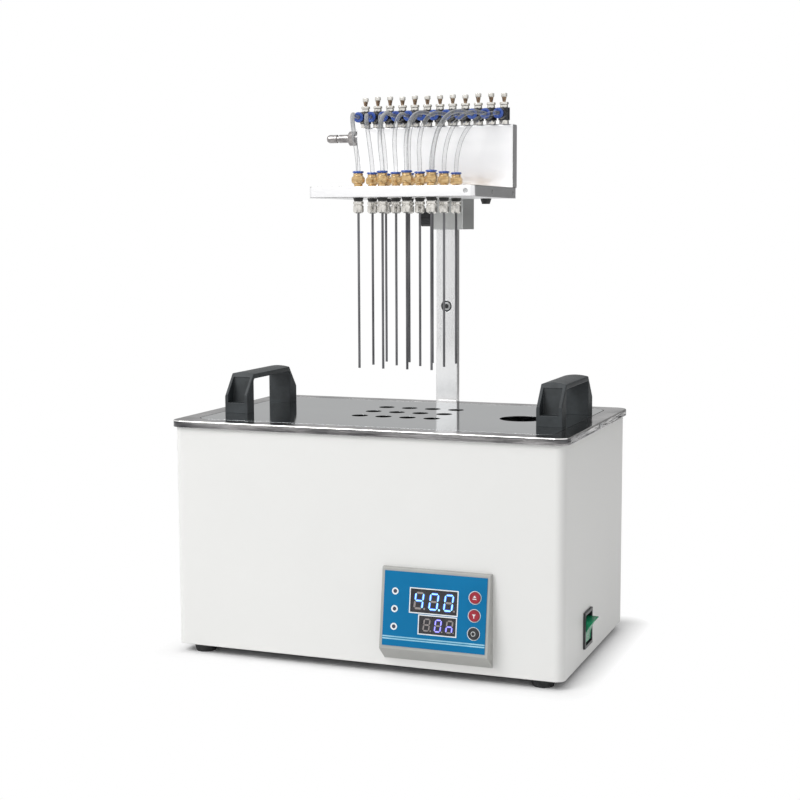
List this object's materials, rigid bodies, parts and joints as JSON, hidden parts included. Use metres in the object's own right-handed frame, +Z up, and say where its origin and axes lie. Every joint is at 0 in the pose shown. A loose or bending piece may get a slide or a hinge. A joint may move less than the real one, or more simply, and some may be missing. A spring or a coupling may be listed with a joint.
{
  "type": "nitrogen sample evaporator",
  "caption": "Heated bench bath with a lift-off lid and a gas head of thin needles, valves and tubes that slides on a rear post.",
  "frame": {"origin": "bench level under the middle of the whole object, in line with the post", "axes": "+X to the right as seen from the control box side, +Y to the rear, +Z up"},
  "size_m": [0.374, 0.2676, 0.5097],
  "materials": {
    "casing_paint": "off-white powder coat",
    "polished_steel": "polished stainless sheet",
    "tank_steel": "pressed stainless sheet",
    "screw_steel": "plated steel",
    "base_steel": "grey painted sheet",
    "foot_rubber": "moulded black rubber",
    "black_plastic": "black moulded nylon",
    "bezel_grey": "grey moulded plastic",
    "overlay_blue": "printed polyester film",
    "display_black": "dark display window",
    "lamp_dark": "unlit lamp",
    "key_red": "red key cap",
    "key_black": "black key cap",
    "board_green": "green circuit board",
    "rocker_green": "translucent green rocker",
    "wool": "glass wool blanket",
    "heater_steel": "stainless tube",
    "bare_aluminium": "satin anodised",
    "grey_aluminium": "grey anodised",
    "valve_black": "black moulded valve body",
    "nickel": "nickel plate",
    "brass_bright": "machined brass",
    "collet_blue": "blue release collar",
    "tube_clear": "clear tube",
    "seal_rubber": "black seal",
    "needle_steel": "drawn stainless tube"
  },
  "bodies": {
    "root": {"casing_shell": "casing_paint", "base_plate": "base_steel", "rubber_feet": "foot_rubber", "foot_screws": "screw_steel", "top_rim": "polished_steel", "rim_screws": "screw_steel", "inner_tank": "tank_steel", "tank_insulation": "wool", "heater_element": "heater_steel", "temperature_probe": "heater_steel", "tank_shelf": "tank_steel", "control_bezel": "bezel_grey", "control_overlay": "overlay_blue", "upper_display": "display_black", "lower_display": "display_black", "indicator_leds": "lamp_dark", "control_board": "board_green", "power_board": "board_green", "switch_frame": "black_plastic", "mains_gland": "black_plastic", "post_bracket": "bare_aluminium", "slide_post": "bare_aluminium", "post_screws": "screw_steel"},
    "lid": {"lid_plate": "polished_steel", "handle_left": "black_plastic", "handle_right": "black_plastic", "handle_screws": "screw_steel"},
    "head": {"slider_block": "grey_aluminium", "needle_plate": "grey_aluminium", "plate_plugs": "screw_steel", "manifold_panel": "bare_aluminium", "manifold_screws": "black_plastic", "valve_nuts": "nickel", "valve_bodies": "valve_black", "valve_collets": "collet_blue", "valve_stems": "brass_bright", "inlet_tail": "nickel", "tube_fittings": "brass_bright", "fitting_collars": "collet_blue", "needle_seals": "seal_rubber", "needle_nuts": "nickel", "needles": "needle_steel", "gas_tubes": "tube_clear"},
    "clamp_knob_body": {"clamp_knob": "black_plastic"},
    "switch_rocker_body": {"switch_rocker": "rocker_green"},
    "up_key_body": {"up_key": "key_red"},
    "down_key_body": {"down_key": "key_red"},
    "set_key_body": {"set_key": "key_black"},
    "valve_knob_01_body": {"valve_knob_01": "nickel"},
    "valve_knob_02_body": {"valve_knob_02": "nickel"},
    "valve_knob_03_body": {"valve_knob_03": "nickel"},
    "valve_knob_04_body": {"valve_knob_04": "nickel"},
    "valve_knob_05_body": {"valve_knob_05": "nickel"},
    "valve_knob_06_body": {"valve_knob_06": "nickel"},
    "valve_knob_07_body": {"valve_knob_07": "nickel"},
    "valve_knob_08_body": {"valve_knob_08": "nickel"},
    "valve_knob_09_body": {"valve_knob_09": "nickel"},
    "valve_knob_10_body": {"valve_knob_10": "nickel"},
    "valve_knob_11_body": {"valve_knob_11": "nickel"},
    "valve_knob_12_body": {"valve_knob_12": "nickel"}
  },
  "joints": [
    {"name": "head_slide", "type": "slide", "parent": "root", "child": "head", "axis": [0, 0, 1], "range_m": [-0.12, 0.03]},
    {"name": "lid_lift", "type": "slide", "parent": "root", "child": "lid", "axis": [0, 0, 1], "range_m": [0, 0.05]},
    {"name": "clamp_turn", "type": "hinge", "parent": "head", "child": "clamp_knob_body", "pos_m": [-0.02, 0.11, 0.394], "axis": [1, 0, 0], "range_deg": [0, 720]},
    {"name": "rocker_tilt", "type": "hinge", "parent": "root", "child": "switch_rocker_body", "pos_m": [0.18, -0.04, 0.035], "axis": [0, -1, 0], "range_deg": [0, 40]},
    {"name": "valve_turn_01", "type": "hinge", "parent": "head", "child": "valve_knob_01_body", "pos_m": [-0.07203, 0.075, 0.506], "axis": [0, 0, 1], "range_deg": [-720, 720]},
    {"name": "valve_turn_02", "type": "hinge", "parent": "head", "child": "valve_knob_02_body", "pos_m": [-0.05928, 0.075, 0.506], "axis": [0, 0, 1], "range_deg": [-720, 720]},
    {"name": "valve_turn_03", "type": "hinge", "parent": "head", "child": "valve_knob_03_body", "pos_m": [-0.04652, 0.075, 0.506], "axis": [0, 0, 1], "range_deg": [-720, 720]},
    {"name": "valve_turn_04", "type": "hinge", "parent": "head", "child": "valve_knob_04_body", "pos_m": [-0.03377, 0.075, 0.506], "axis": [0, 0, 1], "range_deg": [-720, 720]},
    {"name": "valve_turn_05", "type": "hinge", "parent": "head", "child": "valve_knob_05_body", "pos_m": [-0.02102, 0.075, 0.506], "axis": [0, 0, 1], "range_deg": [-720, 720]},
    {"name": "valve_turn_06", "type": "hinge", "parent": "head", "child": "valve_knob_06_body", "pos_m": [-0.00827, 0.075, 0.506], "axis": [0, 0, 1], "range_deg": [-720, 720]},
    {"name": "valve_turn_07", "type": "hinge", "parent": "head", "child": "valve_knob_07_body", "pos_m": [0.00447, 0.075, 0.506], "axis": [0, 0, 1], "range_deg": [-720, 720]},
    {"name": "valve_turn_08", "type": "hinge", "parent": "head", "child": "valve_knob_08_body", "pos_m": [0.01723, 0.075, 0.506], "axis": [0, 0, 1], "range_deg": [-720, 720]},
    {"name": "valve_turn_09", "type": "hinge", "parent": "head", "child": "valve_knob_09_body", "pos_m": [0.02998, 0.075, 0.506], "axis": [0, 0, 1], "range_deg": [-720, 720]},
    {"name": "valve_turn_10", "type": "hinge", "parent": "head", "child": "valve_knob_10_body", "pos_m": [0.04272, 0.075, 0.506], "axis": [0, 0, 1], "range_deg": [-720, 720]},
    {"name": "valve_turn_11", "type": "hinge", "parent": "head", "child": "valve_knob_11_body", "pos_m": [0.05547, 0.075, 0.506], "axis": [0, 0, 1], "range_deg": [-720, 720]},
    {"name": "valve_turn_12", "type": "hinge", "parent": "head", "child": "valve_knob_12_body", "pos_m": [0.06822, 0.075, 0.506], "axis": [0, 0, 1], "range_deg": [-720, 720]},
    {"name": "up_press", "type": "slide", "parent": "root", "child": "up_key_body", "axis": [0, 0.9907, -0.1364], "range_m": [0, 0.0008], "stiffness_N_per_m": 800, "springref_m": -0.0005},
    {"name": "down_press", "type": "slide", "parent": "root", "child": "down_key_body", "axis": [0, 0.9907, -0.1364], "range_m": [0, 0.0008], "stiffness_N_per_m": 800, "springref_m": -0.0005},
    {"name": "set_press", "type": "slide", "parent": "root", "child": "set_key_body", "axis": [0, 0.9907, -0.1364], "range_m": [0, 0.0008], "stiffness_N_per_m": 800, "springref_m": -0.0005}
  ]
}
